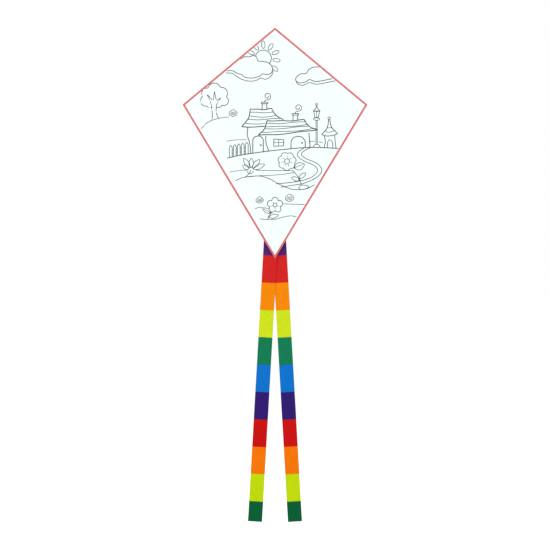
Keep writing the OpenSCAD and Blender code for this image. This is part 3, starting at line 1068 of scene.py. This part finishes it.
def make_panel(leg, i):
    colour = PANELS[i][0]
    s0, s1 = leg.starts[i], leg.starts[i + 1]
    last = i == len(PANELS) - 1
    begin = s0 - (3 * MM if i == 0 else SEAM_LAP)
    finish = s1 + (0 if last else SEAM_LAP)
    along = np.concatenate([[begin, begin + 0.35 * MM, begin + 1.2 * MM],
                            np.linspace(s0 + 1.0 * MM, s1 - 2.6 * MM, 30),
                            [s1 - 1.9 * MM, s1 - 0.6 * MM, finish - 0.3 * MM, finish]])
    half = RIBBON_W / 2
    rim = np.array([0, 0.25, 1.0, 1.8, 2.6, 3.4]) * MM
    across = np.concatenate([rim - half, np.linspace(4.2 * MM - half, half - 4.2 * MM, 12),
                             half - rim[::-1]])

    def thickness(s, a):
        hem = 0.16 * MM * (1 - smooth_step((half - abs(a) - HEM_W) / (0.6 * MM)))
        hem *= smooth_step((half - abs(a)) / (0.25 * MM)) * 0.6 + 0.4
        fold = 0.10 * MM * (1 - smooth_step((s - s0 - 1.6 * MM) / (0.7 * MM))) if i else 0
        foot = 0.16 * MM * smooth_step((s - s1 + FOOT_HEM_W) / (0.5 * MM)) if last else 0
        return RIBBON_T / 2 + hem + fold + foot

    def shift(s):
        """A colour laps in front of the one above it, which ends behind it."""
        front = -0.24 * MM * (1 - smooth_step((s - s0 - 2.2 * MM) / (5 * MM))) if i else 0
        back = 0.2 * MM * smooth_step((s - s1 + 8 * MM) / (5 * MM)) if not last else 0
        return front + back

    def skin(s, a, side):
        """A point on the front, side -1, or the back, side 1."""
        return leg.point(s, a, shift(s) + side * thickness(s, a))

    front, back = ([[skin(s, a, side) for a in across] for s in along] for side in (-1, 1))
    build = Build()
    build.two_sided(front, back)
    for a in (-half + HEM_STITCH, half - HEM_STITCH):
        for side in (-1, 1):
            line = [skin(s, a, side) for s in np.linspace(s0 + 0.6 * MM, s1 - 0.4 * MM, 40)]
            add_stitches(build, line, side, radius=RIBBON_THREAD)
    rows = ([s0 + 1.1 * MM] if i else []) + ([s1 - 2.0 * MM] if last else [])
    for s in rows:
        line = [skin(s, a, -1) for a in np.linspace(-half + 1 * MM, half - 1 * MM, 24)]
        add_stitches(build, line, -1, radius=RIBBON_THREAD)
    piece = build.finish(f"{leg.name}_panel_{i + 1:02d}_{colour}", [PANEL_CLOTH[i], PANEL_THREAD[i]])
    body = f"{leg.name}_ribbon_{i + 1:02d}"
    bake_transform(piece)
    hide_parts(f"{body}_{colour}")


YOKE_TOP, YOKE_SPREAD = 4.2, 28.4       # half width at its top, and what it gains downwards, in mm


def yoke_half(t):
    """Half width of the yoke, t from 0 at its top to 1 at its foot."""
    return (YOKE_TOP + YOKE_SPREAD * t ** 0.85) * MM


def make_header():
    """The gathered yoke: cloth that narrows from both streamers to the loop on the ring."""
    loop_z = RING_Z - RING_R
    top = loop_z - 2.4 * MM
    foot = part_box("tail_header")[0].z + 2.4 * MM
    thick, hem = 1.15 * MM, 0.22 * MM

    def yoke_point(u, t, deep):
        """A point u from -1 to 1 across: the cloth is gathered in pleats, its sides drawn up."""
        pleat = (0.42 * (1 - t) + 0.1) * MM * math.sin(u * 17 + 0.6 * math.sin(7 * t))
        drawn_up = 1.1 * MM * u * u * t
        return u * yoke_half(t), TAIL_Y + deep + pleat, top + (foot - top) * t + drawn_up

    def skin(u, t, side):
        rim = math.sqrt(max(0.0, 1 - abs(u) ** 14)) * 0.94 + 0.06
        return yoke_point(u, t, side * (thick + (hem if t > 0.84 else 0)) * rim)

    build = Build()
    front, back = ([[skin(u, t, side) for u in np.linspace(-1, 1, 41)] for t in np.linspace(0, 1, 16)]
                   for side in (-1, 1))
    build.two_sided(front, back)
    # the loop round the ring's wire
    radius, loop_w, loop_len = 2.72 * MM, 7.4 * MM, 22 * MM
    ring = [(TAIL_Y + radius * math.cos(a), loop_z + radius * math.sin(a))
            for a in np.radians(np.linspace(-62, 242, 27))]
    end_z = top - 1.5 * MM
    strip_along(build, [(TAIL_Y + MM, end_z), *ring, (TAIL_Y - MM, end_z)], loop_w, 0.6 * MM)
    for side in (-1, 1):
        for t in (0.86, 0.95):
            reach = 1 - 3.5 * MM / yoke_half(t)
            line = [yoke_point(u, t, side * (thick + hem)) for u in np.linspace(-reach, reach, 40)]
            add_stitches(build, line, side)
    piece = build.finish("tail_yoke", [PANEL_CLOTH[0], PANEL_THREAD[0]])
    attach(piece, "tail_header")
    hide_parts("tail_header")


make_header()
for leg_name in ("left", "right"):
    streamer = Streamer(leg_name)
    for index in range(len(PANELS)):
        make_panel(streamer, index)


# ---- CAD nodes that stay, with their materials ----

for mat, slot, names in (
    (ROD_UP, "glass_fibre", ["spine_rod"]),
    (ROD_ACROSS, "glass_fibre", ["left_spreader_rod", "right_spreader_rod"]),
    (VINYL, "soft_vinyl", ["cross_fitting", "cross_fitting_left_arm", "cross_fitting_right_arm",
                           "spine_end_caps", "left_end_cap", "right_end_cap"]),
    (PLASTIC, "white_plastic", ["bridle_eyelets", "tail_ring"]),
):
    for name in names:
        part = frame["nodes"][name]
        part.data.materials.clear()
        part.data.materials.append(mat)


# ---- studio: white sweep, soft light, square-on camera ----

VIEW_CENTRE_Z = -0.5529
VIEW_WIDTH = 1.785
LENS, SENSOR = 85.0, 36.0
FLOOR_Z = TAIL_END_Z - 0.22
FLOOR_HALF = 60.0
WHITE = (1, 1, 1, 1)


def make_floor():
    h = FLOOR_HALF
    corners = [(x, y, FLOOR_Z) for x, y in ((-h, -h), (h, -h), (h, h), (-h, h))]
    mat, _, shader = material("studio_floor", (0.8, 0.8, 0.8), 0.9, gloss=0.1)
    set_inputs(shader, {"Emission Color": WHITE, "Emission Strength": 0.6})
    new_object("studio_floor", corners, [[0, 1, 2, 3]], [mat], smooth=False)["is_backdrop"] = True


def make_world():
    world = bpy.data.worlds.new("studio")
    world.use_nodes = True
    tree = world.node_tree
    light = tree.nodes["Background"]
    set_inputs(light, {"Color": WHITE, "Strength": 0.53})
    seen = node(tree, "ShaderNodeBackground", Color=WHITE, Strength=1.0)
    path = node(tree, "ShaderNodeLightPath")
    mix = node(tree, "ShaderNodeMixShader")
    join(tree, path, "Is Camera Ray", mix, "Fac")
    join(tree, light, 0, mix, 1)
    join(tree, seen, 0, mix, 2)
    join(tree, mix, 0, tree.nodes["World Output"], "Surface")
    bpy.context.scene.world = world


def soft_light(name, place, size, power):
    """A round lamp that faces the middle of the view."""
    data = bpy.data.lights.new(name, "AREA")
    data.shape = "DISK"
    data.size = size
    data.energy = power
    lamp = add_object(name, data)
    lamp.location = place
    to_kite = Vector((0, 0, VIEW_CENTRE_Z)) - Vector(place)
    lamp.rotation_euler = to_kite.to_track_quat("-Z", "Y").to_euler()


def make_camera():
    data = bpy.data.cameras.new("camera")
    data.lens = LENS
    data.sensor_width = SENSOR
    data.clip_end = 200
    camera = add_object("camera", data)
    camera.location = (0, -VIEW_WIDTH * LENS / SENSOR, VIEW_CENTRE_Z)
    camera.rotation_euler = (math.pi / 2, 0, 0)
    bpy.context.scene.camera = camera


make_floor()
make_world()
soft_light("key", (-2.4, -3.2, 1.6), 2.2, 50)
soft_light("fill", (2.8, -3.0, -0.2), 2.6, 19)
soft_light("back", (1.6, 3.4, 1.4), 2.4, 44)
make_camera()
bpy.context.scene.view_settings.view_transform = "Standard"

low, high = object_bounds()
